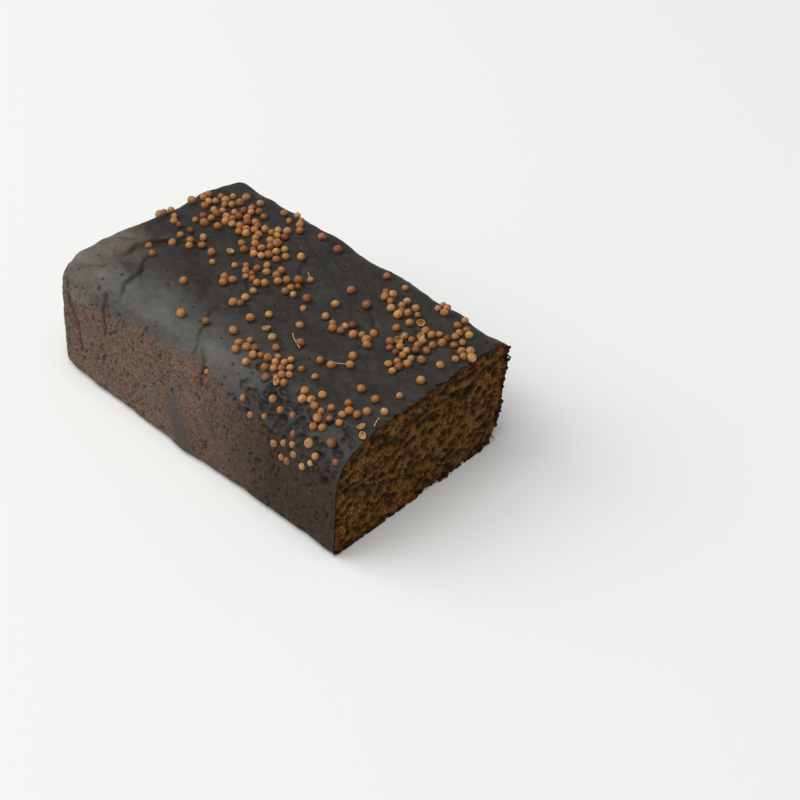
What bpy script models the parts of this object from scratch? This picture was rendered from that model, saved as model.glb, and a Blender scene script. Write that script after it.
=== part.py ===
# The uncut end of a seeded dark rye loaf: a tin-baked brick of bread, sliced off square at one end.
# Metres, +Z up. The length runs along X, from the baked heel at -X to the cut face at +X.
# The loaf rests on its flat base, centred on the origin.
import math

import bmesh
import bpy
from mathutils import Vector, noise

# Driving sizes
LENGTH = 0.157              # cut face to the heel's front corner
WIDTH = 0.091               # across the loaf at mid height
HEIGHT = 0.0490             # base to crown at the cut face

# Cross-section
FOOT_RADIUS = 0.0025        # rounding of the long bottom edges
FRONT_SHOULDER = (0.022, 0.0155)    # broad rounding in front: its run over the top, its drop
HEEL_SHOULDER = (0.010, 0.0080)     # the same rounding where the heel starts
BACK_SHOULDER = (0.0085, 0.0080)    # tighter rounding behind
FRONT_LEAN = 0.0025         # the front wall leans in by this much at its shoulder
BACK_LEAN = 0.0050          # the back wall leans in by this much at its foot
BACK_LIP = 0.0021           # the crust bulges past the tin's edge behind
LIP_FOOT = 0.0280           # height where the back wall leaves that bulge
FOOT_WAIST = 0.0120         # height where the back wall starts to draw in
LEAN_SHARES = (0.2, 0.5)    # share of the back lean taken up at those two heights
FOOT_SWELL = 0.0012         # the front foot spreads by this much between heel and cut
SWELL_HEIGHT = 0.0200
SWELL_REACH = 0.75          # share of the length that spreads

# Heel
HEEL_CORNER = 0.0055        # radius of its upright corners
HEEL_TOP = 0.0062           # rounding of its top edge
HEEL_SKEW = 0.0070          # the heel's back corner is this much nearer to the cut than its front one
SKEW_REACH = 0.40           # share of the length that the skew bends
HEEL_FOOT = 0.0020          # rise of its bottom edge
HEEL_BULGE = 0.0018         # swell of the end wall between its corners

# Crown near the heel: a fuller ridge in front, a drop behind
HEEL_REACH = 0.75           # share of the length over which the heel's shape fades out
CROWN_RISE = 0.0014
RIDGE_PLACE = -0.6          # shares of the half width: where the ridge runs, and how broad it is
RIDGE_BREADTH = 0.4
CROWN_DROP = 0.0010
DROP_START = 0.3            # shares of the half width: where the drop starts, and its run
DROP_RUN = 0.5

# Roughness of the bake
LUMP_SIZE = 0.018
LUMP_HEIGHT = 0.0008
RIPPLE_SIZE = 0.0065
RIPPLE_HEIGHT = 0.0003
LUMP_OFFSET = (3.1, 0.4, 7.7)
RIPPLE_OFFSET = (9.2, 4.1, 0.6)
FOLD_WIDTH = 0.0024
FOLD_DEPTH = 0.0011
FOLD_TILT = (0.2, 0.7)      # upward part of the surface's normal where folds start and are full
FLAT_FOOT = 0.0005          # the roughness starts this far above the base,
FOOT_BLEND = 0.0060         # reaches its full height over this rise,
CUT_BLEND = 0.0040          # and fades out over this run before the cut

# Folds in the top skin, each between two places measured from the middle of the cut face's foot
FOLDS = [
    ((-0.138, -0.028), (-0.134, -0.007)),
    ((-0.134, -0.007), (-0.123, 0.006)),
    ((-0.126, -0.042), (-0.130, -0.020)),
    ((-0.088, -0.018), (-0.099, 0.011)),
    ((-0.075, -0.042), (-0.085, -0.021)),
]

# Mesh fineness
STRAIGHT_RINGS = 46
HEEL_RINGS = 8
WALL_POINTS = 58            # points of a ring above the base
BASE_POINTS = 8             # points of a ring under the loaf
FOOT_POINTS = 5             # points drawn around each rounding
FRONT_POINTS = 15
BACK_POINTS = 9
CAP_SCALES = (0.86, 0.66, 0.42, 0.18)

# Crust finish
CRUST_COLOUR = (0.030, 0.026, 0.024, 1.0)
CRUST_ROUGHNESS = 0.55


def clear_scene():
    for thing in list(bpy.data.objects):
        bpy.data.objects.remove(thing, do_unlink=True)


def ease(value):
    value = min(max(value, 0.0), 1.0)
    return value * value * (3.0 - 2.0 * value)


def mix(first, second, amount):
    return first + (second - first) * amount


def near_heel(x):
    # 1 at the heel, fading to 0 past the middle of the loaf
    return 1.0 - ease((x + LENGTH / 2) / (HEEL_REACH * LENGTH))


def crown_change(x, y):
    # Height gained or lost at a place on the top
    across = y / (WIDTH / 2)
    fuller = CROWN_RISE * math.exp(-((across - RIDGE_PLACE) / RIDGE_BREADTH) ** 2)
    lower = CROWN_DROP * ease((across - DROP_START) / DROP_RUN)
    return near_heel(x) * (fuller - lower)


def elliptic_arc(centre, radii, start, stop, count):
    points = []
    for step in range(count):
        angle = math.radians(mix(start, stop, step / (count - 1)))
        points.append((centre[0] + radii[0] * math.cos(angle), centre[1] + radii[1] * math.sin(angle)))
    return points


def section_outline(fullness):
    # From the front foot up the front wall, over the crown and down to the back foot;
    # fullness is 0 at the cut face and 1 at the heel, where the front shoulder is tighter
    half = WIDTH / 2
    back_wall = half + BACK_LIP
    back_foot = half - BACK_LEAN
    front_run = mix(FRONT_SHOULDER[0], HEEL_SHOULDER[0], fullness)
    front_drop = mix(FRONT_SHOULDER[1], HEEL_SHOULDER[1], fullness)
    back_run, back_drop = BACK_SHOULDER
    foot_radii = (FOOT_RADIUS, FOOT_RADIUS)
    points = elliptic_arc((-half + FOOT_RADIUS, FOOT_RADIUS), foot_radii, 270, 180, FOOT_POINTS)
    points += elliptic_arc((-half + FRONT_LEAN + front_run, HEIGHT - front_drop),
                           (front_run, front_drop), 180, 90, FRONT_POINTS)
    points += elliptic_arc((back_wall - back_run, HEIGHT - back_drop), BACK_SHOULDER, 90, 0, BACK_POINTS)
    points.append((half - BACK_LEAN * LEAN_SHARES[0], LIP_FOOT))
    points.append((half - BACK_LEAN * LEAN_SHARES[1], FOOT_WAIST))
    points += elliptic_arc((back_foot - FOOT_RADIUS, FOOT_RADIUS), foot_radii, 0, -90, FOOT_POINTS)
    return points


def spread_evenly(points, count):
    # The same line with its points an equal way apart
    reached = [0.0]
    for first, second in zip(points, points[1:]):
        reached.append(reached[-1] + math.dist(first, second))
    even = []
    index = 0
    for step in range(count):
        target = reached[-1] * step / (count - 1)
        while index < len(points) - 2 and reached[index + 1] < target:
            index += 1
        part = (target - reached[index]) / (reached[index + 1] - reached[index])
        even.append((mix(points[index][0], points[index + 1][0], part),
                     mix(points[index][1], points[index + 1][1], part)))
    return even


def ring_stations():
    # Place of each ring along the loaf, and how much of the heel's rounding it takes
    stations = []
    for step in range(1, HEEL_RINGS + 1):
        angle = 0.5 * math.pi * step / HEEL_RINGS
        stations.append((HEEL_BULGE + HEEL_CORNER * (1.0 - math.cos(angle)), 1.0 - math.sin(angle)))
    start = stations[-1][0]
    for step in range(1, STRAIGHT_RINGS + 1):
        stations.append((mix(start, LENGTH, step / STRAIGHT_RINGS), 0.0))
    return [(place - LENGTH / 2, pull) for place, pull in stations]


def section_point(x, pull, y, z):
    # A point of the cross-section at this station, drawn in where the heel rounds off,
    # with the heel's skew and the front foot's spread added
    narrowed = y * (1.0 - pull * HEEL_CORNER / (WIDTH / 2))
    upper = ease((z / HEIGHT - 0.5) / 0.5)
    foot = 1.0 - ease(z / FOOT_WAIST)
    height = z + upper * (crown_change(x, y) - pull * HEEL_TOP) + foot * pull * HEEL_FOOT
    along = (x + LENGTH / 2) / LENGTH
    skewed = x + HEEL_SKEW * (1.0 - ease(along / SKEW_REACH)) * (narrowed / WIDTH + 0.5)
    if y < 0.0:
        spread = math.sin(math.pi * min(along / SWELL_REACH, 1.0))
        narrowed -= FOOT_SWELL * spread * (1.0 - ease(z / SWELL_HEIGHT))
    return Vector((skewed, narrowed, height))


def join_rings(mesh, first, second):
    for index in range(len(first)):
        after = (index + 1) % len(first)
        mesh.faces.new((first[index], first[after], second[after], second[index]))


def close_end(mesh, ring, bulge):
    # Shrinking rings that end in a fan, swelling outwards by the bulge
    middle = sum((vert.co for vert in ring), Vector()) / len(ring)
    middle.z = HEIGHT / 2
    outer = ring
    for scale in CAP_SCALES:
        inner = []
        for vert in ring:
            place = middle + (vert.co - middle) * scale
            place.x -= bulge * (1.0 - scale ** 2)
            inner.append(mesh.verts.new(place))
        join_rings(mesh, outer, inner)
        outer = inner
    tip = mesh.verts.new(middle - Vector((bulge, 0.0, 0.0)))
    for index in range(len(outer)):
        mesh.faces.new((outer[index], outer[(index + 1) % len(outer)], tip))


def fold_depth(x, y):
    # Depth of the nearest fold at a place on the top
    place = Vector((x - LENGTH / 2, y))
    deepest = 0.0
    for start, stop in FOLDS:
        start = Vector(start)
        run = Vector(stop) - start
        along = min(max((place - start).dot(run) / run.length_squared, 0.0), 1.0)
        gap = (place - start - run * along).length
        deepest = max(deepest, FOLD_DEPTH * math.exp(-(gap / FOLD_WIDTH) ** 2))
    return deepest


def roughen_crust(mesh):
    # Lumps, ripples and folds along each point's normal; the base and the cut stay flat
    mesh.normal_update()
    moves = []
    fold_start, fold_full = FOLD_TILT
    for vert in mesh.verts:
        place = vert.co
        keep = ease((place.z - FLAT_FOOT) / FOOT_BLEND) * ease((LENGTH / 2 - place.x) / CUT_BLEND)
        lump = LUMP_HEIGHT * noise.noise(place / LUMP_SIZE + Vector(LUMP_OFFSET))
        ripple = RIPPLE_HEIGHT * noise.noise(place / RIPPLE_SIZE + Vector(RIPPLE_OFFSET))
        facing = ease((vert.normal.z - fold_start) / (fold_full - fold_start))
        fold = fold_depth(place.x, place.y) * facing
        moves.append(vert.normal * keep * (lump + ripple - fold))
    for vert, move in zip(mesh.verts, moves):
        vert.co += move


def centre_on_base(mesh):
    # Put the middle of the loaf's box over the origin, with its base at zero height
    for axis in (0, 1):
        values = [vert.co[axis] for vert in mesh.verts]
        shift = (min(values) + max(values)) / 2
        for vert in mesh.verts:
            vert.co[axis] -= shift


def crust_material():
    material = bpy.data.materials.new("dark baked crust")
    material.use_nodes = True
    shader = material.node_tree.nodes["Principled BSDF"]
    shader.inputs["Base Color"].default_value = CRUST_COLOUR
    shader.inputs["Roughness"].default_value = CRUST_ROUGHNESS
    shader.inputs["Metallic"].default_value = 0.0
    return material


def build_loaf():
    mesh = bmesh.new()
    rings = []
    for x, pull in ring_stations():
        upper = spread_evenly(section_outline(near_heel(x)), WALL_POINTS)
        back_foot, front_foot = upper[-1][0], upper[0][0]
        under = [(mix(back_foot, front_foot, (step + 1) / (BASE_POINTS + 1)), 0.0)
                 for step in range(BASE_POINTS)]
        rings.append([mesh.verts.new(section_point(x, pull, y, z)) for y, z in upper + under])
    for first, second in zip(rings, rings[1:]):
        join_rings(mesh, first, second)
    close_end(mesh, rings[0], HEEL_BULGE)
    close_end(mesh, rings[-1], 0.0)
    bmesh.ops.recalc_face_normals(mesh, faces=mesh.faces)
    roughen_crust(mesh)
    centre_on_base(mesh)
    data = bpy.data.meshes.new("loaf")
    mesh.to_mesh(data)
    mesh.free()
    data.materials.append(crust_material())
    loaf = bpy.data.objects.new("loaf", data)
    bpy.context.scene.collection.objects.link(loaf)
    return loaf


def main():
    clear_scene()
    build_loaf()


main()
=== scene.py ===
import math
import random

import bpy
import numpy as np
from mathutils import Matrix, Vector, kdtree, noise
from mathutils.bvhtree import BVHTree


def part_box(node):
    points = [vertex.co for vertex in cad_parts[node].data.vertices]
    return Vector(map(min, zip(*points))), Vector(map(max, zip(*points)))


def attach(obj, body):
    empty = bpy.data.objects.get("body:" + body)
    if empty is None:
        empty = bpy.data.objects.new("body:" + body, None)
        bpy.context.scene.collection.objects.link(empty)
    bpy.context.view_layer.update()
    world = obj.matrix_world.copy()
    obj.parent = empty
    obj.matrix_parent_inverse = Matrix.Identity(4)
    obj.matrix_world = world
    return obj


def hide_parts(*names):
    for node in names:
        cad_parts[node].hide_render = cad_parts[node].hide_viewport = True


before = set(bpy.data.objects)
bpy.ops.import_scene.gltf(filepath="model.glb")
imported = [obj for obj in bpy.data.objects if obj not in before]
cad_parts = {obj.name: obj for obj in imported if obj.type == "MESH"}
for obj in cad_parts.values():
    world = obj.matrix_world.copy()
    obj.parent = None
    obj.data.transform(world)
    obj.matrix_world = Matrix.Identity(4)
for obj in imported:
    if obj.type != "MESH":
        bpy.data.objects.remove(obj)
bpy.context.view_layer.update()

mm = 0.001
boxLow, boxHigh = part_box("loaf")
cutX = boxHigh.x                    # the plane of the cut face
loafHeight = boxHigh.z - boxLow.z
halfWidth = (boxHigh.y - boxLow.y) / 2

# Places on the loaf are in mm: x back from the cut face (so negative), y across, z up.


def linear(hexColour):
    values = []
    for start in (1, 3, 5):
        value = int(hexColour[start:start + 2], 16) / 255
        values.append(value / 12.92 if value <= 0.04045 else ((value + 0.055) / 1.055) ** 2.4)
    return (*values, 1.0)


def addNode(tree, kind, settings=None, links=None):
    # A number or an input's name sets that input, "stops" the colours of a ramp
    node = tree.nodes.new(kind)
    for name, value in (settings or {}).items():
        if name == "stops":
            elements = node.color_ramp.elements
            while len(elements) < len(value):
                elements.new(0.5)
            for element, (place, colour) in zip(elements, value):
                element.position = place
                element.color = linear(colour)
        elif isinstance(name, int) or name in node.inputs:
            node.inputs[name].default_value = value
        else:
            setattr(node, name, value)
    for name, socket in (links or {}).items():
        tree.links.new(socket, node.inputs[name])
    return node


def readPatterns(tree, finish):
    # The values a finish mixes its colours by: the mesh's own, noises sized in mm, and ranges of both
    place = addNode(tree, "ShaderNodeTexCoord").outputs
    values = {"place": place["Object"], "uv": place["UV"]}
    for name in finish.get("attributes", ()):
        values[name] = addNode(tree, "ShaderNodeAttribute", {"attribute_name": name}).outputs["Fac"]
    for name, (size, detail, roughness) in finish.get("noise", {}).items():
        settings = {"Scale": 1 / (size * mm), "Detail": detail, "Roughness": roughness}
        values[name] = addNode(tree, "ShaderNodeTexNoise", settings, {0: values["place"]}).outputs[0]
    for name, (source, *limits) in finish.get("ranges", {}).items():
        settings = dict(zip((1, 2, 3, 4), limits))
        values[name] = addNode(tree, "ShaderNodeMapRange", settings, {0: values[source]}).outputs[0]
    return values


def layColours(tree, values, source, stops, layers):
    # A ramp of colours with more laid over it, each by the value it is named with
    colour = addNode(tree, "ShaderNodeValToRGB", {"stops": stops}, {0: values[source]}).outputs[0]
    for name, tint in layers:
        settings = {"data_type": "RGBA", 7: linear(tint)}
        colour = addNode(tree, "ShaderNodeMix", settings, {0: values[name], 6: colour}).outputs[2]
    return colour


def addBump(tree, shader, height, strength, distance):
    settings = {"Strength": strength, "Distance": distance * mm}
    bump = addNode(tree, "ShaderNodeBump", settings, {"Height": height})
    tree.links.new(bump.outputs["Normal"], shader.inputs["Normal"])


def newMaterial(name):
    material = bpy.data.materials.new(name)
    material.use_nodes = True
    return material, material.node_tree, material.node_tree.nodes["Principled BSDF"]


def deselectAll():
    if bpy.context.object and bpy.context.object.mode != "OBJECT":
        bpy.ops.object.mode_set(mode="OBJECT")
    bpy.ops.object.select_all(action="DESELECT")


def makeActive(*things):
    deselectAll()
    for thing in things:
        thing.select_set(True)
    bpy.context.view_layer.objects.active = things[0]


def mergeDoubles(thing, distance):
    makeActive(thing)
    bpy.ops.object.mode_set(mode="EDIT")
    bpy.ops.mesh.select_all(action="SELECT")
    bpy.ops.mesh.remove_doubles(threshold=distance)
    bpy.ops.object.mode_set(mode="OBJECT")


def joinAll(things, name):
    makeActive(*things)
    bpy.ops.object.join()
    joined = bpy.context.object
    joined.name = name
    joined.data.name = name
    return joined


def applyPlace(thing):
    makeActive(thing)
    bpy.ops.object.transform_apply(location=True, rotation=True, scale=True)


def readPoints(mesh):
    points = np.empty(len(mesh.vertices) * 3)
    mesh.vertices.foreach_get("co", points)
    return points.reshape(-1, 3)


def writePoints(mesh, points):
    mesh.vertices.foreach_set("co", np.ascontiguousarray(points, np.float32).ravel())
    mesh.update()


def readNormals(mesh):
    normals = np.empty(len(mesh.vertices) * 3)
    mesh.vertex_normals.foreach_get("vector", normals)
    return normals.reshape(-1, 3)


def storeValues(mesh, name, values, kind="FLOAT", domain="POINT"):
    attribute = mesh.attributes.get(name) or mesh.attributes.new(name, kind, domain)
    field = "vector" if kind == "FLOAT_VECTOR" else "value"
    attribute.data.foreach_set(field, np.asarray(values).ravel())


def ease(values, low, high):
    share = np.clip((values - low) / (high - low), 0, 1)
    return share * share * (3 - 2 * share)


def noiseAt(points, size, seed=0.0):
    shift = Vector((seed * 7.31, seed * 3.17, seed * 5.43))
    scaled = points / size
    return np.array([noise.noise(Vector(point) + shift) for point in scaled])


# Camera: a long lens looking down on the cut corner
camera = {"lens": 94.5, "azimuth": 44.45, "elevation": 42.8, "fromCutFoot": (380.2, -399.2, 558.5)}


def makeCamera():
    azimuth, elevation = math.radians(camera["azimuth"]), math.radians(camera["elevation"])
    back = Vector((math.sin(azimuth) * math.cos(elevation), -math.cos(azimuth) * math.cos(elevation),
                   math.sin(elevation)))
    bpy.ops.object.camera_add(location=Vector((cutX, 0, 0)) + Vector(camera["fromCutFoot"]) * mm)
    eye = bpy.context.object
    eye.rotation_euler = back.to_track_quat("Z", "Y").to_euler()
    eye.data.lens = camera["lens"]
    eye.data.sensor_width = 36
    bpy.context.scene.camera = eye


# Crust shell: a box of fine grids, pressed onto the smoothed CAD loaf
shell = {
    "along": 420, "across": 230, "up": 88,      # grid cells, about 0.4 mm each
    "core": 18 * mm,                # depth of the inner box that the grids are pressed out from
    "cutMargin": 0.03 * mm,         # points this near to the cut are kept in its plane
    "startMargin": 0.02 * mm,       # their rays start this far behind it
}


def smoothLoaf():
    # A merged, subdivided copy of the CAD loaf with its cut edge kept sharp
    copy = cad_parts["loaf"].copy()
    copy.data = copy.data.copy()
    bpy.context.scene.collection.objects.link(copy)
    mergeDoubles(copy, 0.01 * mm)
    bpy.ops.object.mode_set(mode="EDIT")
    bpy.ops.mesh.tris_convert_to_quads(face_threshold=0.7, shape_threshold=0.7)
    bpy.ops.mesh.select_mode(type="EDGE")
    bpy.ops.mesh.select_all(action="DESELECT")
    bpy.ops.mesh.edges_select_sharp(sharpness=math.radians(60))
    bpy.ops.object.mode_set(mode="OBJECT")
    storeValues(copy.data, "crease_edge", [float(edge.select) for edge in copy.data.edges], domain="EDGE")
    smoothing = copy.modifiers.new("smoothing", "SUBSURF")
    smoothing.levels = smoothing.render_levels = 2
    bpy.ops.object.modifier_apply(modifier="smoothing")
    return copy


def pressOutwards(points, tree):
    # Each point follows the ray from the nearest place of the inner box to the loaf's surface
    coreLow = np.array(boxLow) + shell["core"]
    coreHigh = np.array([boxHigh.x, boxHigh.y - shell["core"], boxHigh.z - shell["core"]])
    starts = np.clip(points, coreLow, coreHigh)
    starts[:, 0] = np.minimum(starts[:, 0], cutX - shell["startMargin"])
    atCut = points[:, 0] > cutX - shell["cutMargin"]
    rays = points - starts
    rays[atCut, 0] = 0
    pressed = points.copy()
    for index, (start, ray) in enumerate(zip(starts, rays)):
        pressed[index] = tree.ray_cast(Vector(start), Vector(ray).normalized())[0]
    pressed[atCut, 0] = cutX
    return pressed


def shellPanel(panel, counts, corner, sideA, sideB):
    # A grid primitive between three corners of the loaf's box, marked with its panel's number
    bpy.ops.mesh.primitive_grid_add(x_subdivisions=counts[0], y_subdivisions=counts[1], size=2)
    grid = bpy.context.object
    corner, sideA, sideB = Vector(corner), Vector(sideA), Vector(sideB)
    centre = corner + (sideA + sideB) / 2
    normal = sideA.cross(sideB).normalized()
    turn = Matrix((sideA / 2, sideB / 2, normal)).transposed().to_4x4()
    grid.data.transform(Matrix.Translation(centre) @ turn)
    storeValues(grid.data, "panel", [panel] * len(grid.data.polygons), "INT", "FACE")
    return grid


def makeShell(tree):
    low, size = boxLow, boxHigh - boxLow
    x, y, z = Vector((size.x, 0, 0)), Vector((0, size.y, 0)), Vector((0, 0, size.z))
    along, across, up = shell["along"], shell["across"], shell["up"]
    panels = [
        shellPanel(0, (along, across), low + z, x, y),      # top
        shellPanel(1, (along, up), low, x, z),              # front
        shellPanel(1, (along, up), low + x + y, -x, z),     # back
        shellPanel(1, (across, up), low + y, -y, z),        # heel
        shellPanel(2, (across, along), low, y, x),          # base
    ]
    crust = joinAll(panels, "crustTop")
    mergeDoubles(crust, 0.05 * mm)
    writePoints(crust.data, pressOutwards(readPoints(crust.data), tree))
    bpy.ops.object.shade_smooth()
    return crust


# Relief of the bake
relief = {
    "seed": 11,
    "swell": (12, 0.85), "rise": (4.6, 0.36), "grain": (1.5, 0.10),     # noise: size and height, mm
    "sidePits": 7600, "sidePitSize": (0.32, 0.95),
    "topPits": 150, "topPitSize": (0.40, 0.75),
    "craters": 150, "craterSize": (0.9, 2.1),
}

# Folds where the skin wrinkled: path on the top (x, y), width, depth, lift of the left bank, its reach
topFolds = [
    ([(-121, -40), (-124, -34), (-125, -27), (-129, -19), (-132, -14)], 0.9, 1.0, 1.5, 6),
    ([(-138, -27), (-138, -14), (-135, -7), (-131, -3), (-125, 1), (-118, 3)], 1.1, 1.1, 1.9, 6),
    ([(-150, -26), (-147, -18), (-139, -11)], 1.2, 0.8, 0.9, 5),
    ([(-152, -37), (-144, -37), (-138, -33), (-135, -27)], 1.3, 0.5, 0.7, 5),
    ([(-140, -36), (-132, -41), (-127, -42)], 0.7, 0.5, 0.2, 4),
    ([(-127, -42), (-121, -41), (-111, -41), (-103, -42)], 0.8, 0.3, 0.0, 4),
    ([(-103, 5), (-105, 2)], 0.8, 0.7, 0.4, 5),
    ([(-95, 2), (-89, -2)], 0.9, 0.9, 0.5, 5),
    ([(-88, -6), (-84, -9), (-78, -11)], 0.9, 0.7, 0.5, 5),
    ([(-88, -9), (-90, -17), (-88, -24), (-82, -34), (-78, -39), (-74, -43)], 0.9, 0.8, -0.8, 7),
    ([(-76, 14), (-82, 19), (-86, 25), (-87, 36)], 0.9, 0.5, 0.5, 6),
    ([(-86, 25), (-92, 27), (-96, 31)], 0.9, 0.4, 0.2, 5),
    ([(-48, 21), (-43, 18), (-36, 15)], 0.7, 0.5, 0.4, 5),
]

# Swellings of the skin between the folds: x, y, reach along x and y, height
topLobes = [
    (-145, -20, 5, 8, 1.2), (-134, -31, 5, 6, 1.2), (-114, -20, 12, 12, 1.5), (-97, -31, 7, 7, 0.8),
    (-80, -34, 6, 6, 1.0), (-131, -22, 3, 4, -0.6), (-99, -15, 5, 6, -0.8), (-64, 18, 10, 8, 0.6),
]

# Cracks down the front wall: path (x, z), width, depth
frontCracks = [
    ([(-148, 44), (-147, 33), (-143, 23), (-141, 14)], 0.8, 0.7),
    ([(-128, 46), (-126, 38), (-127, 29)], 0.7, 0.7),
    ([(-77, 46), (-74, 42), (-72, 37)], 0.8, 0.8),
]

# Larger holes in the front shoulder, some with a seed sunk in them: x, z, radius
frontHoles = [
    (-72, 42.5, 2.2), (-48, 39, 1.9), (-33, 43, 2.9), (-24, 37, 1.6), (-11, 41, 1.9), (-6, 34, 2.2),
]


def pathDistance(first, second, path):
    # For points given by two coordinates in mm: distance to a path, side of it, and how far along it
    best = np.full(len(first), 1e9)
    side = np.zeros(len(first))
    along = np.zeros(len(first))
    for number, ((ax, ay), (bx, by)) in enumerate(zip(path, path[1:])):
        runX, runY = bx - ax, by - ay
        share = np.clip(((first - ax) * runX + (second - ay) * runY) / (runX ** 2 + runY ** 2), 0, 1)
        gapX, gapY = first - ax - share * runX, second - ay - share * runY
        gap = np.hypot(gapX, gapY)
        nearer = gap < best
        best = np.where(nearer, gap, best)
        side = np.where(nearer, np.sign(runX * gapY - runY * gapX), side)
        along = np.where(nearer, (number + share) / (len(path) - 1), along)
    return best, side, along


def stampPits(height, shade, tree, pits):
    # Round hollows: centre, radius, depth, curve of the wall (0.5 round, 2 soft) and darkness of the painted
    # shade laid into them
    before = height.copy()
    for centre, radius, depth, curve, dark in pits:
        found = tree.find_range(Vector(centre), radius)
        if not found:
            continue
        index = np.array([item[1] for item in found])
        away = np.array([item[2] for item in found]) / radius
        bowl = np.clip(1 - away ** 2, 0, 1) ** curve
        height[index] = np.minimum(height[index], before[index] - depth * bowl)
        shade[index] = np.maximum(shade[index], bowl * dark)


# The edge of the cut, in mm: how far it broke back, its noises (size and height) and the share kept in front
brokenEdge = {"usual": 0.3, "most": 1.5, "coarse": (4.5, 1.9), "fine": (1.4, 0.9), "front": 0.25}


def crumbledEdge(points):
    # How far the edge of the cut broke back, least along the front where the knife went in
    flat = points * np.array([0, 1, 1])
    broken = brokenEdge["usual"]
    for seed, name in ((21.0, "coarse"), (22.0, "fine")):
        size, amount = brokenEdge[name]
        broken = broken + amount * noiseAt(flat, size * mm, seed)
    backShare = ease(points[:, 1], -0.8 * halfWidth, -0.4 * halfWidth)
    share = brokenEdge["front"] + (1 - brokenEdge["front"]) * backShare
    return np.clip(broken, 0, brokenEdge["most"]) * mm * share


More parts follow.
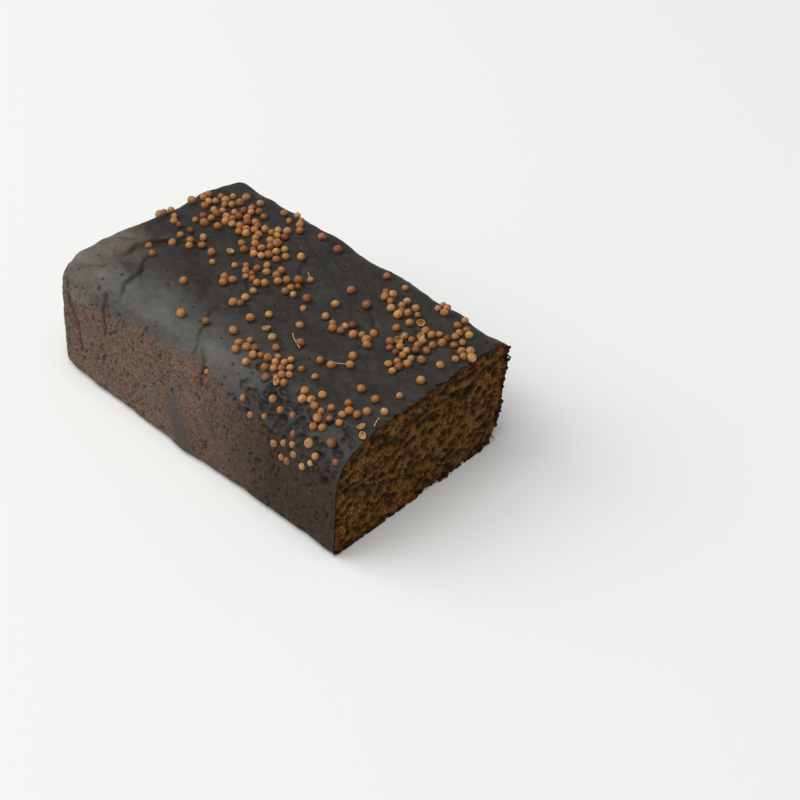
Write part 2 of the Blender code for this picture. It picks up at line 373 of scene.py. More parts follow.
def shapeRelief(crust):
    mesh = crust.data
    points = readPoints(mesh)
    normals = readNormals(mesh)
    x, y, z = (points[:, 0] - cutX) / mm, points[:, 1] / mm, points[:, 2] / mm
    topShare = ease(normals[:, 2], 0.25, 0.75)
    frontShare = ease(-normals[:, 1], 0.2, 0.7)
    wallShare = 1 - topShare
    height = np.zeros(len(points))
    # Painted shade: darkness laid into the folds, cracks, pits and craters, where shade would fall
    shade = np.zeros(len(points))
    for step, (size, amount) in enumerate((relief["swell"], relief["rise"], relief["grain"])):
        rough = noiseAt(points, size * mm, 2.0 + step) * amount * mm
        height += rough * (1.0 if step < 2 else 0.5 + 1.1 * wallShare)
    wander = noiseAt(points, 5 * mm, 9.0)
    for path, width, depth, lift, reach in topFolds:
        gap, side, along = pathDistance(x + wander * 1.4, y + wander * 1.4, path)
        taper = np.clip(np.sin(math.pi * along), 0, 1) ** 0.5 * topShare
        groove = np.exp(-(gap / width) ** 2) * (0.3 + 0.7 * taper) * topShare
        bank = np.exp(-gap / reach) * (side > 0) * (1 - np.exp(-(gap / (1.4 * width)) ** 2)) * taper
        height += (lift * bank - depth * groove) * mm
        shade = np.maximum(shade, 0.55 * groove ** 3 * min(depth, 1.0))
    for lobeX, lobeY, reachX, reachY, lift in topLobes:
        away = ((x + 2 * wander - lobeX) / reachX) ** 2 + ((y + 2 * wander - lobeY) / reachY) ** 2
        height += lift * np.exp(-away) * topShare * mm
    for path, width, depth in frontCracks:
        gap = pathDistance(x + wander, z + wander, path)[0]
        groove = np.exp(-(gap / width) ** 2) * frontShare
        height -= depth * groove * mm
        shade = np.maximum(shade, 0.6 * groove)
    # Fine parallel wrinkles where the skin slid behind
    wrinkled = ease(y, 14, 24) * ease(-x, 40, 52) * (1 - ease(-x, 78, 92)) * topShare
    height += 0.04 * mm * wrinkled * np.sin((x * 0.5 + y * 2.0 + wander * 6) * 1.4)
    # A smooth swollen band on the front wall
    drift = noiseAt(points, 13 * mm, 6.0) * 3.2 + noiseAt(points, 3.5 * mm, 7.0) * 1.5
    band = np.exp(-((x + 83 + 0.3 * (z - 12) + drift) / 8.0) ** 2) * frontShare
    band = band * (1 - ease(z + drift, 12, 34))
    height += 0.5 * mm * band
    tree = kdtree.KDTree(len(points))
    for index, point in enumerate(points):
        tree.insert(point, index)
    tree.balance()
    rng = np.random.default_rng(relief["seed"])
    pits = []
    walls = np.flatnonzero((wallShare > 0.5) & (normals[:, 2] > -0.6))
    keepOff = noiseAt(points[walls], 9 * mm, 4.0) * 0.9 - 1.6 * band[walls]
    for index in rng.choice(walls, relief["sidePits"]):
        place = np.searchsorted(walls, index)
        if keepOff[place] + rng.random() < 0.25:
            continue
        low, high = relief["sidePitSize"]
        radius = (low + (high - low) * rng.random() ** 4) * mm
        depth, dark = radius * rng.uniform(0.5, 0.95), rng.uniform(0.25, 0.65)
        pits.append((points[index], radius, depth, 0.5, dark))
    tops = np.flatnonzero(topShare > 0.6)
    for index in rng.choice(tops, relief["topPits"]):
        radius = rng.uniform(*relief["topPitSize"]) * mm
        pits.append((points[index], radius, radius * rng.uniform(0.6, 1.2), 0.5, 0.7))
    craterZone = np.flatnonzero((x > -58) & (x < -2) & (y < -27) & (z > 37))
    for index in rng.choice(craterZone, relief["craters"]):
        low, high = relief["craterSize"]
        radius = (low + (high - low) * rng.random() ** 1.6) * mm
        pits.append((points[index], radius, radius * rng.uniform(0.5, 0.95), 1.2, rng.uniform(0.05, 0.35)))
    for holeX, holeZ, radius in frontHoles:
        gaps = np.hypot(x - holeX, z - holeZ) + 40 * (normals[:, 1] > -0.1)
        pits.append((points[np.argmin(gaps)], radius * mm, radius * 0.8 * mm, 0.8, 0.9))
    stampPits(height, shade, tree, pits)
    keep = ease(cutX - points[:, 0], 0.0, 1.5 * mm) * ease(points[:, 2], 0.0, 2.5 * mm)
    moved = points + normals * (height * keep)[:, None]
    rimShare = 1 - ease(cutX - points[:, 0], 0.0, 3.5 * mm)
    atRim = rimShare > 0
    moved[atRim, 0] -= crumbledEdge(points[atRim]) * rimShare[atRim]
    writePoints(mesh, moved)
    # Values the finish reads: top skin or wall, painted shade in the hollows, a painted sheen on the far
    # shoulder, painted light on the heel's corner and painted shade towards the cut
    borderZ = 38.0 + 5.0 * ease(-x, 25, 80) - 5.0 * ease(-x, 110, 145)
    skin = ease(z + drift - borderZ, -3.5, 3.0)
    skin = np.maximum(skin, ease(topShare, 0.6, 1.0) * ease(z, 42, 46))
    # Painted sheen: a pale band on the far front shoulder standing in for the key light's reflection
    bloom = np.exp(-((y + 33) / 11) ** 2) * ease(-x, 35, 75) * np.clip(0.7 + drift * 0.12, 0, 1)
    # Painted light: the top's front corner at the heel made paler, where the key light falls
    heelGlow = ease(-x, 126, 142) * ease(-y, 0, 22) * np.clip(0.6 + drift * 0.15, 0, 1)
    storeValues(mesh, "skinShare", skin)
    storeValues(mesh, "hollow", np.clip(shade, 0, 1))
    storeValues(mesh, "bloom", np.clip(bloom, 0, 1))
    storeValues(mesh, "wallBand", np.clip(band, 0, 1))
    storeValues(mesh, "heelGlow", np.clip(heelGlow, 0, 1))
    # Painted shade: the walls darkened towards the cut, away from the key light
    storeValues(mesh, "nearCut", 0.85 * ease(x, -85, -25))


def splitShell(crust):
    # Top, walls and base become pieces of their own that keep the whole shell's normals
    mesh = crust.data
    storeValues(mesh, "wholeNormal", readNormals(mesh), "FLOAT_VECTOR")
    pieces = [crust]
    for panel, name in ((1, "crustWalls"), (2, "crustBase")):
        makeActive(crust)
        bpy.ops.object.mode_set(mode="EDIT")
        bpy.ops.mesh.select_mode(type="FACE")
        bpy.ops.mesh.select_all(action="DESELECT")
        bpy.ops.object.mode_set(mode="OBJECT")
        chosen = np.empty(len(crust.data.polygons), np.int32)
        crust.data.attributes["panel"].data.foreach_get("value", chosen)
        crust.data.polygons.foreach_set("select", chosen == panel)
        bpy.ops.object.mode_set(mode="EDIT")
        bpy.ops.mesh.separate(type="SELECTED")
        bpy.ops.object.mode_set(mode="OBJECT")
        part = [thing for thing in bpy.context.selected_objects if thing is not crust][0]
        part.name = part.data.name = name
        pieces.append(part)
    for part in pieces:
        normals = np.empty(len(part.data.vertices) * 3, np.float32)
        part.data.attributes["wholeNormal"].data.foreach_get("vector", normals)
        part.data.normals_split_custom_set_from_vertices(normals.reshape(-1, 3))
        part.data.attributes.remove(part.data.attributes["wholeNormal"])
        part.data.attributes.remove(part.data.attributes["panel"])
    return pieces


# Finish of the crust
crustFinish = {
    "attributes": ("skinShare", "hollow", "bloom", "wallBand", "heelGlow", "nearCut"),
    "noise": {"cloud": (12, 4, 0.6), "fleck": (1.3, 3, 0.7), "scuff": (3.2, 5, 0.7)},
    "ranges": {
        "veil": ("scuff", 0.45, 0.75, 0.0, 0.8), "topFleck": ("fleck", 0.48, 0.70, 0.0, 0.4),
        "wallFleck": ("fleck", 0.42, 0.66, 0.0, 0.75), "greyed": ("wallBand", 0.15, 0.8, 0.0, 0.85),
        "roughness": ("skinShare", 0.0, 1.0, 0.9, 0.58), "grit": ("fleck", 0.0, 1.0, 0.0, 0.25),
    },
    "cell": 0.75,       # mm between the finest pores of the walls
    "top": [(0.35, "#22201c"), (0.65, "#302b27")],
    # Over the top: a grey scuffed veil, painted sheen on the far shoulder, painted light on the heel's
    # corner, dark flecks
    "topLayers": [("veil", "#3e3933"), ("bloom", "#63615c"), ("heelGlow", "#766c5e"),
                  ("topFleck", "#1f1c19")],
    "wall": [(0.36, "#71625a"), (0.50, "#7d6150"), (0.62, "#7b5f4e"), (0.76, "#4f3a2e")],
    # Over the wall: dark flecks, painted shade towards the cut, painted shade in the pores, the grey band
    "wallLayers": [("wallFleck", "#483429"), ("nearCut", "#2f2118"), ("poreDepthAndShade", "#150d09"),
                   ("greyed", "#4a4541")],
    # Colour of the painted shade in the hollows
    "paintedPitShade": "#150d09",
}


def makeCrustMaterial():
    # Rye crust baked nearly black: a dull satin skin on top, dry brown pitted bread down the tin's walls
    material, tree, shader = newMaterial("black baked rye crust")
    values = readPatterns(tree, crustFinish)
    cells = addNode(tree, "ShaderNodeTexVoronoi", {"Scale": 1 / (crustFinish["cell"] * mm)},
                    {"Vector": values["place"]}).outputs["Distance"]
    # Wall pores: this value sinks them in the bump and darkens them with painted shade
    values["poreDepthAndShade"] = addNode(tree, "ShaderNodeMapRange", {1: 0.12, 2: 0.36, 3: 0.7, 4: 0.0},
                             {0: cells}).outputs[0]
    top = layColours(tree, values, "cloud", crustFinish["top"], crustFinish["topLayers"])
    wall = layColours(tree, values, "cloud", crustFinish["wall"], crustFinish["wallLayers"])
    crust = addNode(tree, "ShaderNodeMix", {"data_type": "RGBA"},
                    {0: values["skinShare"], 6: wall, 7: top}).outputs[2]
    # Painted shade: the relief's hollows darkened towards near black
    pitted = addNode(tree, "ShaderNodeMix", {"data_type": "RGBA", 7: linear(crustFinish["paintedPitShade"])},
                     {0: values["hollow"], 6: crust}).outputs[2]
    tree.links.new(pitted, shader.inputs["Base Color"])
    tree.links.new(values["roughness"], shader.inputs["Roughness"])
    shader.inputs["Specular IOR Level"].default_value = 0.35
    wallHeight = addNode(tree, "ShaderNodeMath", {"operation": "MULTIPLY_ADD", 1: -1.1},
                         {0: values["poreDepthAndShade"], 2: values["fleck"]}).outputs[0]
    topHeight = addNode(tree, "ShaderNodeMath", {"operation": "MULTIPLY_ADD", 1: 0.5},
                        {0: values["scuff"], 2: values["grit"]}).outputs[0]
    height = addNode(tree, "ShaderNodeMix", {"data_type": "FLOAT"},
                     {0: values["skinShare"], 2: wallHeight, 3: topHeight}).outputs[0]
    addBump(tree, shader, height, 0.9, 0.4)
    return material


# Crumb of the cut face
crumb = {
    "across": 460, "up": 246,       # grid cells, about 0.2 mm each
    "pores": 5200, "poreSize": (0.2, 1.7),
    "nap": ((2.4, 0.16), (1.0, 0.18), (0.48, 0.28)),     # noise of the torn crumb: size and height, mm
    "seed": 5,
    # Larger tears: y, z, radius
    "tears": [(18, 39, 2.2), (25, 36.5, 2.8), (30, 33, 2.0), (34, 41, 1.8), (12, 24, 1.6), (33, 13, 1.8),
              (27, 26, 1.4), (-19, 38, 1.2), (-30, 27, 1.1), (-5, 23, 1.5), (-37, 30, 1.2), (38, 25, 1.6)],
}


def makeCrumb(tree):
    # A grid fitted into the loaf's outline at the cut, then pitted with pores
    columns, rows = crumb["across"], crumb["up"]
    bpy.ops.mesh.primitive_grid_add(x_subdivisions=columns, y_subdivisions=rows, size=2)
    face = bpy.context.object
    face.name = face.data.name = "cutCrumb"
    flat = readPoints(face.data)
    u, v = (flat[:, 0] + 1) / 2, (flat[:, 1] + 1) / 2

    def edge(across, up):
        # Where the outline meets the ray towards a place on the loaf's box
        points = np.zeros((len(across), 3))
        points[:, 0] = cutX
        points[:, 1] = boxLow.y + across * (boxHigh.y - boxLow.y)
        points[:, 2] = boxLow.z + up * (boxHigh.z - boxLow.z)
        return pressOutwards(points, tree)

    shareU = np.linspace(0, 1, columns + 1)
    shareV = np.linspace(0, 1, rows + 1)
    bottom, top = edge(shareU, shareU * 0), edge(shareU, shareU * 0 + 1)
    front, back = edge(shareV * 0, shareV), edge(shareV * 0 + 1, shareV)
    column = np.rint(u * columns).astype(int)
    row = np.rint(v * rows).astype(int)
    u, v = u[:, None], v[:, None]
    corners = ((1 - u) * (1 - v) * bottom[0] + u * (1 - v) * bottom[-1]
               + (1 - u) * v * top[0] + u * v * top[-1])
    points = (1 - v) * bottom[column] + v * top[column] + (1 - u) * front[row] + u * back[row] - corners
    rim = np.vstack((bottom, top, front, back))
    rimTree = kdtree.KDTree(len(rim))
    for index, point in enumerate(rim):
        rimTree.insert(point, index)
    rimTree.balance()
    rimGap = np.array([rimTree.find(point)[2] for point in points]) / mm
    rng = np.random.default_rng(crumb["seed"])
    warp = noiseAt(points, 1.5 * mm, 3.0)
    warpMore = noiseAt(points, 1.5 * mm, 13.0)
    warpY = points[:, 1] / mm + 0.75 * warp
    warpZ = points[:, 2] / mm + 0.75 * warpMore
    inside = ease(rimGap, 0.3, 1.4)
    depth = np.zeros(len(points))
    for step, (size, amount) in enumerate(crumb["nap"]):
        depth += noiseAt(points, size * mm, 1.0 + step) * amount
    # Painted shade: the deeper places of the torn crumb darker
    shade = np.clip(0.4 + depth * 2.5, 0, 1) * 0.35
    poreTree = kdtree.KDTree(len(points))
    for index, point in enumerate(points):
        poreTree.insert(point, index)
    poreTree.balance()
    low, high = crumb["poreSize"]
    pores = list(crumb["tears"])
    for step in range(crumb["pores"]):
        centreY = rng.uniform(boxLow.y, boxHigh.y) / mm
        centreZ = rng.uniform(1.0, loafHeight / mm - 1)
        pores.append((centreY, centreZ, low + (high - low) * rng.random() ** 5.5))
    for centreY, centreZ, radius in pores:
        stretch = rng.uniform(1.0, 1.6)
        turn = rng.normal(0, 0.5)
        deep = radius * rng.uniform(0.7, 1.15)
        found = poreTree.find_range(Vector((cutX, centreY * mm, centreZ * mm)), radius * stretch * 1.5 * mm)
        if not found:
            continue
        index = np.array([item[1] for item in found])
        gapY, gapZ = warpY[index] - centreY, warpZ[index] - centreZ
        runA = (gapY * math.cos(turn) + gapZ * math.sin(turn)) / (radius * stretch)
        runB = (-gapY * math.sin(turn) + gapZ * math.cos(turn)) / radius
        bowl = np.sqrt(np.clip(1 - runA ** 2 - runB ** 2, 0, 1))
        depth[index] = np.maximum(depth[index], deep * bowl)
        # Painted shade deepens towards each pore's bottom
        shade[index] = np.maximum(shade[index], np.clip(bowl * (0.32 + 0.40 * radius), 0, 0.92))
    points[:, 0] -= depth * inside * mm + crumbledEdge(points) * (1 - ease(rimGap, 0.0, 2.6))
    writePoints(face.data, points)
    storeValues(face.data, "poreShade", shade * inside)
    wobble = 1.6 * noiseAt(points, 5 * mm, 6.0)
    storeValues(face.data, "rimShare", 0.75 * (1 - ease(rimGap + wobble, 0.6, 4.2)))
    storeValues(face.data, "crustLine", 1 - ease(rimGap + 0.3 * wobble, 0.35, 1.1))
    bpy.ops.object.shade_smooth()
    return face


crumbFinish = {
    "attributes": ("poreShade", "rimShare", "crustLine"),
    "noise": {"patch": (7, 3, 0.5), "grain": (0.65, 4, 0.75)},
    "ranges": {"plain": ("patch", 0.35, 0.7, 0.0, 0.4)},
    "crumb": [(0.33, "#3e230c"), (0.5, "#7a5020"), (0.68, "#b4864a")],
    "layers": [("plain", "#7a5020"), ("rimShare", "#6e370f"), ("poreShade", "#110801"),
               ("crustLine", "#1d1512")],
}


def makeCrumbMaterial():
    # Moist dark rye crumb: matte, olive brown, its pores made nearly black by painted shade, and a redder
    # rim under the crust
    material, tree, shader = newMaterial("open rye crumb")
    values = readPatterns(tree, crumbFinish)
    colour = layColours(tree, values, "grain", crumbFinish["crumb"], crumbFinish["layers"])
    tree.links.new(colour, shader.inputs["Base Color"])
    shader.inputs["Roughness"].default_value = 0.8
    shader.inputs["Specular IOR Level"].default_value = 0.15
    addBump(tree, shader, values["grain"], 0.8, 0.25)
    return material


# Coriander seeds
seeds = {"size": (2.4, 3.7), "usual": 3.0, "sunk": 0.28, "seed": 21}

# Drifts of seeds on the top: from (x, y) to (x, y), spread, how many
seedDrifts = [
    ((-144, 22), (-133, 31), 2.8, 14), ((-131, 26), (-119, 29), 3.0, 18),
    ((-148, 4), (-147, 7), 1.3, 3), ((-141, 5), (-137, 5), 1.1, 4), ((-134, 15), (-132, 11), 1.3, 4),
    ((-111, 40), (-104, 37), 1.6, 6), ((-115, 22), (-104, 29), 2.2, 15), ((-103, 19), (-109, 10), 1.8, 7),
    ((-96, 22), (-95, 13), 1.8, 7), ((-100, 4), (-90, 3), 2.2, 9), ((-86, 6), (-82, 9), 2.2, 6),
    ((-86, -1), (-86, -12), 1.0, 4), ((-93, 38), (-91, 37), 1.0, 2), ((-130, -1), (-120, 6), 1.8, 7),
    ((-100, -4), (-98, -7), 0.9, 3), ((-78, 13), (-78, 6), 1.8, 5), ((-52, 5), (-38, 8), 1.3, 10),
    ((-62, -26), (-54, -24), 2.2, 8), ((-53, -24), (-44, -27), 2.6, 16), ((-67, -24), (-66, -31), 1.0, 3),
    ((-47, 33), (-48, 29), 1.4, 4), ((-41, 30), (-28, 28), 1.8, 9), ((-30, 41), (-24, 37), 1.8, 4),
    ((-20, 41), (-14, 35), 1.6, 5), ((-12, 28), (-3, 27), 1.8, 9), ((-22, 24), (-16, 19), 2.0, 9),
    ((-28, 15), (-17, 9), 2.2, 11), ((-21, 5), (-16, 4), 1.0, 3), ((-31, -27), (-26, -27), 1.3, 5),
    ((-20, -29), (-20, -37), 1.2, 6), ((-17, -25), (-12, -22), 1.5, 4),
]

# Seeds lying alone on the top: x, y
loneSeeds = [
    (-125, 14), (-114, 1), (-110, -2), (-88, 24), (-82, 38), (-76, 17), (-69, 9), (-66, 4), (-72, -8),
    (-75, -14), (-67, -14), (-62, -16), (-75, -23), (-87, -27), (-95, -31), (-108, -18), (-136, -12),
    (-130, -15), (-59, -4), (-56, 6), (-58, 13), (-60, 23), (-50, 21), (-57, 39), (-47, 39), (-52, -11),
    (-40, -12), (-35, -11), (-42, -20), (-35, -20), (-33, -3), (-30, -7), (-33, 5), (-27, 10), (-7, 16),
    (-6, 5), (-6, -5), (-18, -13), (-11, -13), (-4, -15), (-9, -19), (-6, -25), (-13, -29), (-16, -34),
    (-9, -36), (-17, -40), (-37, 12), (-33, 20), (-37, 25), (-5, 22),
]

# Seeds pressed into the front shoulder and wall: x, z
sideSeeds = [
    (-72, 41.5), (-46, 39), (-32, 35), (-28, 37), (-24, 38.5), (-18, 41), (-28, 31), (-25, 31), (-17, 34),
    (-14, 36.5), (-4, 42), (-21, 44), (-36, 44), (-11, 45), (-30, 45), (-26, 41), (-22, 36), (-13, 40),
    (-40, 41), (-52, 42),
]


def makeSeed():
    # One coriander fruit: a round, slightly long ball with a small beak at its tip
    bpy.ops.mesh.primitive_uv_sphere_add(segments=12, ring_count=7, radius=1.0)
    seed = bpy.context.object
    points = readPoints(seed.data)
    points[:, 2] *= 1.06
    tip = points[:, 2] > 1.0
    points[tip, 2] += 0.12
    writePoints(seed.data, points)
    bpy.ops.object.shade_smooth()
    return seed


def surfaceAt(surface, x, y):
    # Place and normal of the crust straight below a spot on the top
    start = Vector((cutX + x * mm, y * mm, 2 * boxHigh.z))
    return surface.ray_cast(start, Vector((0, 0, -1)))[:2]


def placeSeeds(surface, huskCentres):
    # Where each seed sits: drifts and lone seeds dropped from above, side seeds pushed in from the front
    rng = random.Random(seeds["seed"])
    taken = [(centre, husks["radius"] * mm) for centre in huskCentres]

    def settle(place, normal, radius, sunk):
        centre = place + normal * radius * (1 - 2 * sunk)
        for other, otherRadius in taken:
            if (centre - other).length < 0.93 * (radius + otherRadius):
                return False
        taken.append((centre, radius))
        return True

    def newRadius():
        low, high = seeds["size"]
        return rng.triangular(low, high, seeds["usual"]) / 2 * mm

    def drop(x, y, radius):
        place, normal = surfaceAt(surface, x, y)
        if place is None or place.x > cutX - 1.2 * mm:
            return False
        upright = (normal + Vector((0, 0, 1))).normalized()
        return settle(place, upright, radius, seeds["sunk"] * rng.uniform(0.5, 1.1))

    for x, y in loneSeeds:
        drop(x + rng.uniform(-0.4, 0.4), y + rng.uniform(-0.4, 0.4), newRadius())
    for start, stop, spread, count in seedDrifts:
        for step in range(count):
            radius = newRadius()
            for attempt in range(40):
                share = rng.random()
                x = start[0] + (stop[0] - start[0]) * share + rng.gauss(0, spread)
                y = start[1] + (stop[1] - start[1]) * share + rng.gauss(0, spread)
                if drop(x, y, radius):
                    break
    for x, z in sideSeeds:
        start = Vector((cutX + x * mm, 2 * boxLow.y, z * mm))
        place, normal = surface.ray_cast(start, Vector((0, 1, 0)))[:2]
        settle(place, normal, newRadius() * 0.9, 0.62)
    return taken[len(huskCentres):]


def makeSeeds(surface, huskCentres):
    rng = random.Random(seeds["seed"] + 1)
    model = makeSeed()
    copies = []
    for centre, radius in placeSeeds(surface, huskCentres):
        copy = model.copy()
        copy.data = model.data.copy()
        bpy.context.scene.collection.objects.link(copy)
        turn = Matrix.Rotation(rng.uniform(0, math.tau), 4, "Z")
        turn = turn @ Matrix.Rotation(rng.uniform(0.2, 2.6), 4, "X")
        turn = turn @ Matrix.Rotation(rng.uniform(0, 6), 4, "Z")
        squeeze = Matrix.Diagonal((radius * rng.uniform(0.94, 1.04), radius, radius, 1))
        copy.data.transform(Matrix.Translation(centre) @ turn @ squeeze)
        roast = min(max(rng.gauss(0.35, 0.24), 0), 1)
        storeValues(copy.data, "roast", [roast] * len(copy.data.vertices))
        copies.append(copy)
    bpy.data.objects.remove(model)
    print("coriander seeds:", len(copies))
    return joinAll(copies, "corianderSeeds")


seedFinish = {
    "attributes": ("roast",),
    "noise": {"blotch": (1.6, 3, 0.5)},
    "ranges": {"stain": ("blotch", 0.42, 0.75, 0.0, 0.7)},
    "husk": [(0.0, "#cf9b5a"), (0.4, "#b3783d"), (0.85, "#764128")],
    "layers": [("stain", "#7c452a"), ("ribShade", "#643820")],
    "ribs": 10,
}


def makeSeedMaterial():
    # Dry toasted coriander: a matte husk with a slight gloss, ten darker ribs from pole to pole
    material, tree, shader = newMaterial("toasted coriander husk")
    values = readPatterns(tree, seedFinish)
    around = addNode(tree, "ShaderNodeSeparateXYZ", links={0: values["uv"]}).outputs["X"]
    angle = addNode(tree, "ShaderNodeMath", {"operation": "MULTIPLY", 1: seedFinish["ribs"] * math.tau},
                    {0: around}).outputs[0]
    wave = addNode(tree, "ShaderNodeMath", {"operation": "SINE"}, {0: angle}).outputs[0]
    rib = addNode(tree, "ShaderNodeMapRange", {1: 0.3}, {0: wave}).outputs[0]
    values["ribShade"] = addNode(tree, "ShaderNodeMath", {"operation": "MULTIPLY", 1: 0.35},
                                 {0: rib}).outputs[0]
    colour = layColours(tree, values, "roast", seedFinish["husk"], seedFinish["layers"])
    tree.links.new(colour, shader.inputs["Base Color"])
    shader.inputs["Roughness"].default_value = 0.55
    height = addNode(tree, "ShaderNodeMath", {"operation": "ADD"}, {0: rib, 1: values["blotch"]}).outputs[0]
    addBump(tree, shader, height, 0.5, 0.15)
    return material


# Split husks and bits of stalk among the seeds
husks = {
    "radius": 1.65, "wall": 0.25,
    "places": [(-67, -14), (-28, 28), (-27, 15), (-23, 23), (-5, -26), (-1.6, -29), (-110, 7), (-44, -30)],
    "straw": [(0.3, "#9a6534"), (0.65, "#d8b073")], "seed": 8,
}
stalks = {"thick": 0.4, "ends": [((-57, -10), (-50, -13)), ((-35, -10), (-31, -7)), ((-3, -19), (-1.5, -23)),
                                  ((-79, 19), (-75, 17))]}


def makeHusks(surface):
    # Half shells: a ball bisected at its middle, given a wall, and left lying open side up
    rng = random.Random(husks["seed"])
    halves = []
    centres = []
    for x, y in husks["places"]:
        bpy.ops.mesh.primitive_uv_sphere_add(segments=16, ring_count=10, radius=husks["radius"] * mm)
        half = bpy.context.object
        bpy.ops.object.mode_set(mode="EDIT")
        bpy.ops.mesh.select_all(action="SELECT")
        bpy.ops.mesh.bisect(plane_co=(0, 0, 0.2 * mm), plane_no=(0, 0, 1), clear_outer=True)
        bpy.ops.object.mode_set(mode="OBJECT")
        wall = half.modifiers.new("wall", "SOLIDIFY")
        wall.thickness = husks["wall"] * mm
        bpy.ops.object.modifier_apply(modifier="wall")
        bpy.ops.object.shade_smooth()
        place, normal = surfaceAt(surface, x, y)
        lean = normal + Vector((rng.uniform(-0.7, 0.9), rng.uniform(-0.9, 0.3), 0))
        turn = lean.to_track_quat("Z", "Y").to_matrix().to_4x4()
        squash = Matrix.Diagonal((1.0, rng.uniform(0.72, 0.9), 1.0, 1.0))
        centre = place + normal * husks["radius"] * 0.75 * mm
        half.data.transform(Matrix.Translation(centre) @ turn @ squash)
        halves.append(half)
        centres.append(centre)
    return joinAll(halves, "splitHusks"), centres


def makeStalks(surface):
    # Thin dry stalks: bent curves with a round section, lying on the crust
    bits = []
    for start, stop in stalks["ends"]:
        first = surfaceAt(surface, *start)[0]
        last = surfaceAt(surface, *stop)[0]
        if first is None or last is None:
            continue
        bpy.ops.curve.primitive_bezier_curve_add()
        bit = bpy.context.object
        points = bit.data.splines[0].bezier_points
        lift = Vector((0, 0, 0.9 * mm))
        bow = (last - first).cross(Vector((0, 0, 1))) * 0.07
        for point, place in zip(points, (first + lift * 1.6, last + lift)):
            point.co = place
            point.handle_left_type = point.handle_right_type = "FREE"
        points[0].handle_left = points[0].co - bow
        points[0].handle_right = points[0].co + (points[1].co - points[0].co) * 0.35 + bow
        points[1].handle_left = points[1].co - (points[1].co - points[0].co) * 0.35 + bow
        points[1].handle_right = points[1].co + bow
        bit.data.bevel_depth = stalks["thick"] / 2 * mm
        bit.data.bevel_resolution = 2
        bit.data.resolution_u = 8
        bit.data.use_fill_caps = True
        bpy.ops.object.convert(target="MESH")
        bits.append(bpy.context.object)
    for bit in bits:
        applyPlace(bit)
    return joinAll(bits, "stalkBits")


def makeStrawMaterial():
    # Papery inside of the husk and dry stalk: pale straw, dull, with a faint fibre
    material, tree, shader = newMaterial("dry straw husk")
    values = readPatterns(tree, {"noise": {"fibre": (0.8, 3, 0.5)}})
    colour = layColours(tree, values, "fibre", husks["straw"], [])
    tree.links.new(colour, shader.inputs["Base Color"])
    shader.inputs["Roughness"].default_value = 0.7
    addBump(tree, shader, values["fibre"], 0.4, 0.1)
    return material


# Torn crumbs along the cut, where the knife pulled the crust
tornCrumbs = {
    "count": 260, "size": (0.25, 1.1), "fresh": 0.35, "seed": 17,    # fresh: share starting a new cluster
    "crumb": [(0.34, "#22160c"), (0.52, "#3a210b"), (0.7, "#6b451b")],
}


def makeTornCrumbs(tree):
    rng = random.Random(tornCrumbs["seed"])
    bpy.ops.mesh.primitive_uv_sphere_add(segments=8, ring_count=5, radius=1.0)
    model = bpy.context.object
    bpy.ops.object.shade_smooth()
    copies = []
    target = None
    for step in range(tornCrumbs["count"]):
        # Most hang along the back edge, some along the foot, a few over the top edge
        pick = rng.random()
        if target and rng.random() > tornCrumbs["fresh"]:
            target = target + Vector((0, rng.uniform(-1.3, 1.3), rng.uniform(-1.3, 1.3))) * mm
        elif pick < 0.62:
            target = Vector((cutX, boxHigh.y, rng.uniform(0.05, 0.93) * loafHeight))
        elif pick < 0.88:
            target = Vector((cutX, rng.triangular(-0.9, 0.93, 0.7) * halfWidth, boxLow.z))
        else:
            target = Vector((cutX, rng.uniform(-0.5, 0.9) * halfWidth, boxHigh.z))
        edge = Vector(pressOutwards(np.array([target]), tree)[0])
        inward = (Vector((cutX, 0, loafHeight / 2)) - edge).normalized()
        radius = rng.triangular(*tornCrumbs["size"], 0.4) * mm
        place = edge + inward * rng.uniform(-0.2, 1.4) * mm
        place.x += rng.uniform(-1.5, 0.2) * mm
        place.z = max(place.z, boxLow.z + radius * 1.2)
        copy = model.copy()
        copy.data = model.data.copy()
        bpy.context.scene.collection.objects.link(copy)
        points = readPoints(copy.data)
        points *= 1 + 0.7 * noiseAt(points, 0.8, step * 0.37)[:, None]
        writePoints(copy.data, points)
        turn = Matrix.Rotation(rng.uniform(0, 6), 4, "Z") @ Matrix.Rotation(rng.uniform(0, 3), 4, "X")
        shape = Matrix.Diagonal((radius, radius * rng.uniform(0.5, 0.9), radius * rng.uniform(0.5, 1), 1))
        copy.data.transform(Matrix.Translation(place) @ turn @ shape)
        copies.append(copy)
    bpy.data.objects.remove(model)
    return joinAll(copies, "tornCrumbs")


def makeTornMaterial():
    # Loose bits of the same crumb, some with burnt crust on them
    material, tree, shader = newMaterial("torn rye crumb")
    values = readPatterns(tree, {"noise": {"grain": (1.6, 3, 0.5)}})
    colour = layColours(tree, values, "grain", tornCrumbs["crumb"], [])
    tree.links.new(colour, shader.inputs["Base Color"])
    shader.inputs["Roughness"].default_value = 0.85
    shader.inputs["Specular IOR Level"].default_value = 0.15
    addBump(tree, shader, values["grain"], 0.6, 0.2)
    return material


# Stage
stage = {"floor": "#f3f4f2", "size": 8.0}


def makeStage():
    bpy.ops.mesh.primitive_plane_add(size=stage["size"], location=(0, 0, boxLow.z))
    floor = bpy.context.object
    floor.name = "floor"
    material, tree, shader = newMaterial("matte white table")
    shader.inputs["Base Color"].default_value = linear(stage["floor"])
    shader.inputs["Roughness"].default_value = 0.9
    shader.inputs["Specular IOR Level"].default_value = 0.1
    floor.data.materials.append(material)


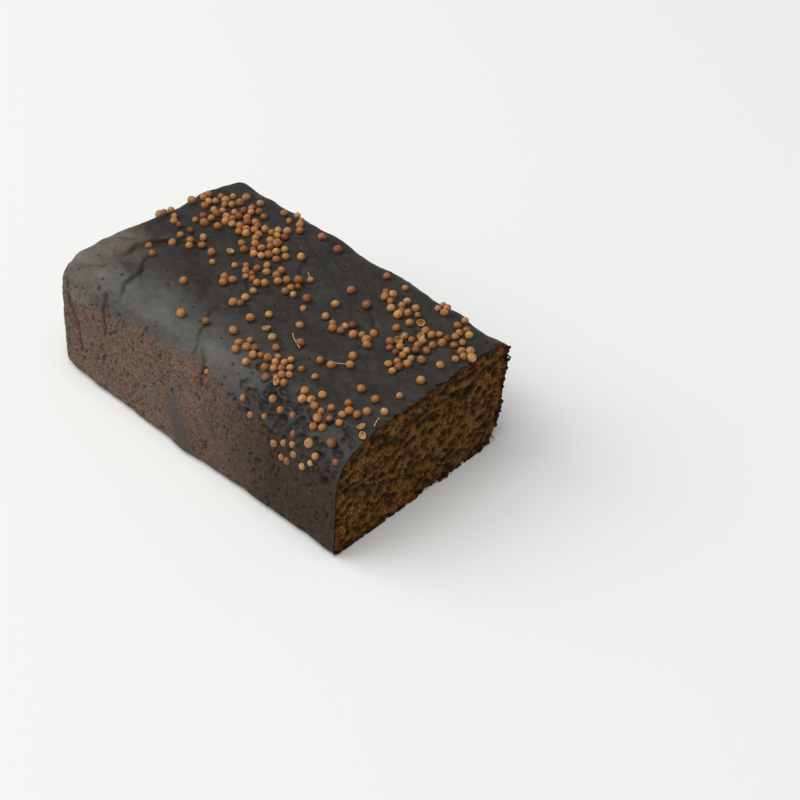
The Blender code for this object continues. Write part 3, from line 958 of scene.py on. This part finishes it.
# Light: a large soft key from the heel's left, a broad top light, an even pale room
lights = {
    "key": {"place": (-2.1, -1.4, 2.3), "size": 2.8, "power": 63},
    "top": {"place": (0.1, -0.5, 2.9), "size": 2.6, "power": 51},
    "room": 0.24,
    "backdrop": 0.92,
}


def makeLights():
    for name in ("key", "top"):
        bpy.ops.object.light_add(type="AREA", location=lights[name]["place"])
        lamp = bpy.context.object
        lamp.name = name
        lamp.data.size = lights[name]["size"]
        lamp.data.energy = lights[name]["power"]
        lamp.rotation_euler = (-Vector(lights[name]["place"])).to_track_quat("-Z", "Y").to_euler()
    world = bpy.data.worlds.new("pale room")
    bpy.context.scene.world = world
    world.use_nodes = True
    tree = world.node_tree
    path = addNode(tree, "ShaderNodeLightPath")
    strength = addNode(tree, "ShaderNodeMapRange", {3: lights["room"], 4: lights["backdrop"]},
                       {0: path.outputs["Is Camera Ray"]}).outputs[0]
    background = tree.nodes["Background"]
    background.inputs["Color"].default_value = (1, 1, 1, 1)
    tree.links.new(strength, background.inputs["Strength"])
    bpy.context.scene.view_settings.view_transform = "Standard"


def finishPiece(piece, material):
    piece.data.materials.clear()
    piece.data.materials.append(material)
    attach(piece, "root")


makeCamera()
smooth = smoothLoaf()
loafTree = BVHTree.FromObject(smooth, bpy.context.evaluated_depsgraph_get())
bpy.data.objects.remove(smooth)
crust = makeShell(loafTree)
print("crust shell pressed")
shapeRelief(crust)
print("crust relief shaped")
crustTree = BVHTree.FromObject(crust, bpy.context.evaluated_depsgraph_get())
crustPieces = splitShell(crust)
crustMaterial = makeCrustMaterial()
for piece in crustPieces:
    finishPiece(piece, crustMaterial)
    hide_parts("loaf")
crumbFace = makeCrumb(loafTree)
finishPiece(crumbFace, makeCrumbMaterial())
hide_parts("loaf")
print("crumb cut")
huskPiece, huskCentres = makeHusks(crustTree)
strawMaterial = makeStrawMaterial()
finishPiece(huskPiece, strawMaterial)
finishPiece(makeSeeds(crustTree, huskCentres), makeSeedMaterial())
finishPiece(makeStalks(crustTree), strawMaterial)
finishPiece(makeTornCrumbs(loafTree), makeTornMaterial())
print("seeds, husks, stalks and torn crumbs placed")
makeStage()
makeLights()
